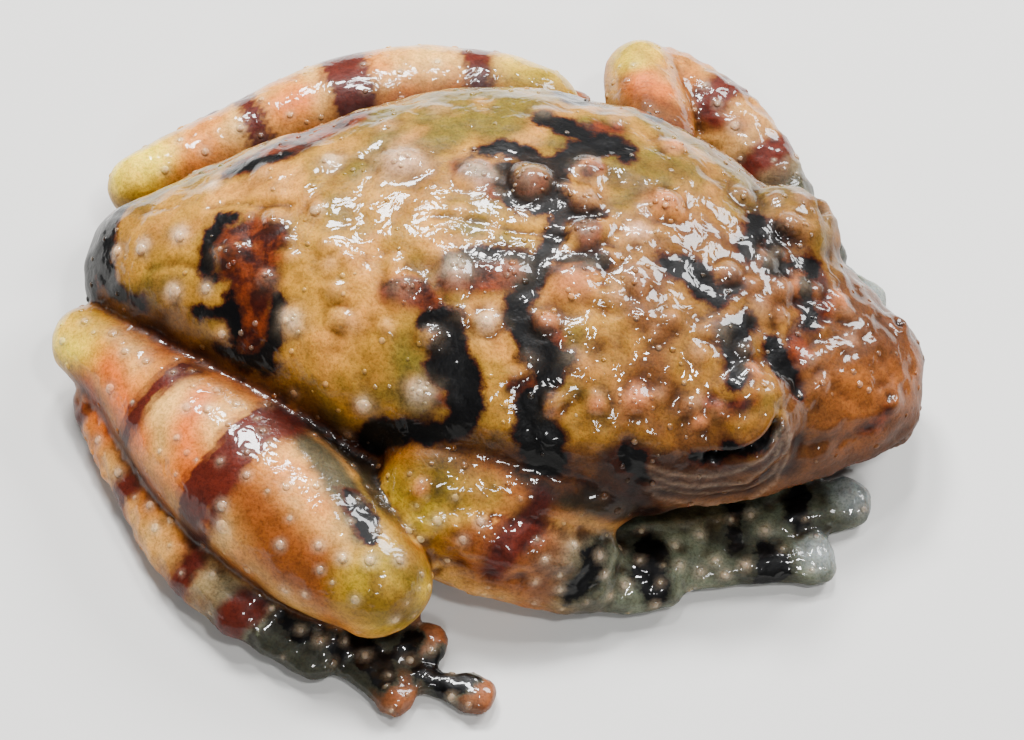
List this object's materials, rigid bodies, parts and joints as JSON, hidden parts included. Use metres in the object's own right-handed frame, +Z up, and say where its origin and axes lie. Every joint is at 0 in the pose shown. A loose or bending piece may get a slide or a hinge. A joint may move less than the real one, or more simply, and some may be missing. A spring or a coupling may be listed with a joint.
{
  "type": "african wart frog, still life-size model",
  "caption": "Crouched wart-skinned tree frog with closed eyes, legs folded at its sides and arms tucked in; rests on its belly, hands and feet.",
  "frame": {"origin": "centre of the bottom face of the whole model's bounding box, on the floor", "axes": "+X from the vent towards the snout, +Y towards the frog's left side, +Z up"},
  "size_m": [0.036, 0.0328, 0.0109],
  "materials": {
    "skin": "wet, warty, golden brown with dark blotches",
    "eye": "wet gloss"
  },
  "bodies": {
    "root": {"torso": "skin", "head": "skin", "eye_right": "eye", "eye_left": "eye", "upper_arm_right": "skin", "upper_arm_left": "skin", "forearm_right": "skin", "forearm_left": "skin", "hand_right": "skin", "hand_left": "skin", "thigh_right": "skin", "thigh_left": "skin", "shank_right": "skin", "shank_left": "skin", "tarsus_right": "skin", "tarsus_left": "skin", "foot_right": "skin", "foot_left": "skin"}
  },
  "joints": []
}
